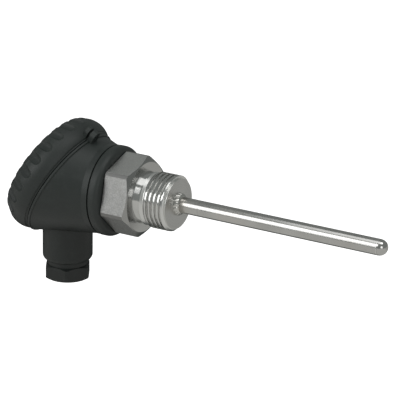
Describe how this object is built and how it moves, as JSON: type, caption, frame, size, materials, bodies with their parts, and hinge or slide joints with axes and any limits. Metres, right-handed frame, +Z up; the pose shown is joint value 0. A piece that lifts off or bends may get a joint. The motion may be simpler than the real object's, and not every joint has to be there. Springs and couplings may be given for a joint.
{
  "type": "immersion temperature sensor",
  "caption": "Screw-in resistance thermometer: round plastic head with tilted screw cap and cable gland, hexagon fitting with threaded stub, slim closed tube.",
  "frame": {"origin": "centre of the fitting's sealing face, the hexagon's front face round the threaded stub, on the probe's axis", "axes": "+X along the probe to its tip; +Z up, away from the cable gland; +Y completes the right-handed frame, away from the camera of the picture"},
  "size_m": [0.1542, 0.0478, 0.0616],
  "materials": {
    "head_plastic": "moulded, matte near-black",
    "seal_rubber": "moulded rubber",
    "washer_plastic": "natural nylon",
    "stainless": "turned threads and face, bead-blasted flats",
    "weld_steel": "rippled weld, as welded",
    "tube_steel": "satin drawn tube",
    "ceramic": "unglazed alumina",
    "resin": "cast resin",
    "block_plastic": "moulded, light grey",
    "screw_steel": "zinc plated",
    "clamp_brass": "machined, plain",
    "lead_red": "insulated wire",
    "lead_white": "insulated wire"
  },
  "bodies": {
    "sensor": {"head_body": "head_plastic", "cable_grommet": "seal_rubber", "neck_gasket": "seal_rubber", "process_fitting": "stainless", "weld_bead": "weld_steel", "sheath_tube": "tube_steel", "tip_plug": "tube_steel", "sensing_element": "ceramic", "insulator_tube": "ceramic", "potting_plug": "resin", "terminal_block": "block_plastic", "terminal_clamp_1": "clamp_brass", "terminal_clamp_2": "clamp_brass", "terminal_clamp_3": "clamp_brass", "terminal_clamp_4": "clamp_brass", "terminal_screws": "screw_steel", "block_screws": "screw_steel", "lead_1": "lead_red", "lead_2": "lead_red", "lead_3": "lead_white", "lead_4": "lead_white"},
    "seal_ring": {"lid_seal": "seal_rubber"},
    "cap": {"lid": "head_plastic"},
    "washer": {"thrust_washer": "washer_plastic"},
    "nut": {"gland_nut": "head_plastic"}
  },
  "joints": [
    {"name": "cap_rise", "type": "slide", "parent": "sensor", "child": "seal_ring", "axis": [-0.8746, 0, 0.4848], "range_m": [0, 0.00601]},
    {"name": "cap_turn", "type": "hinge", "parent": "seal_ring", "child": "cap", "pos_m": [-0.0344, 0, -0.0001], "axis": [-0.8746, 0, 0.4848], "range_deg": [0, 720]},
    {"name": "gland_travel", "type": "slide", "parent": "sensor", "child": "washer", "axis": [0, 0, -1], "range_m": [0, 0.00451]},
    {"name": "gland_turn", "type": "hinge", "parent": "washer", "child": "nut", "pos_m": [-0.0344, 0, -0.035], "axis": [0, 0, -1], "range_deg": [0, 1080]}
  ],
  "couplings": [
    {"joint": "cap_rise", "follows": "cap_turn", "m_per_rad": 0.00047746},
    {"joint": "gland_travel", "follows": "gland_turn", "m_per_rad": 0.00023873}
  ]
}
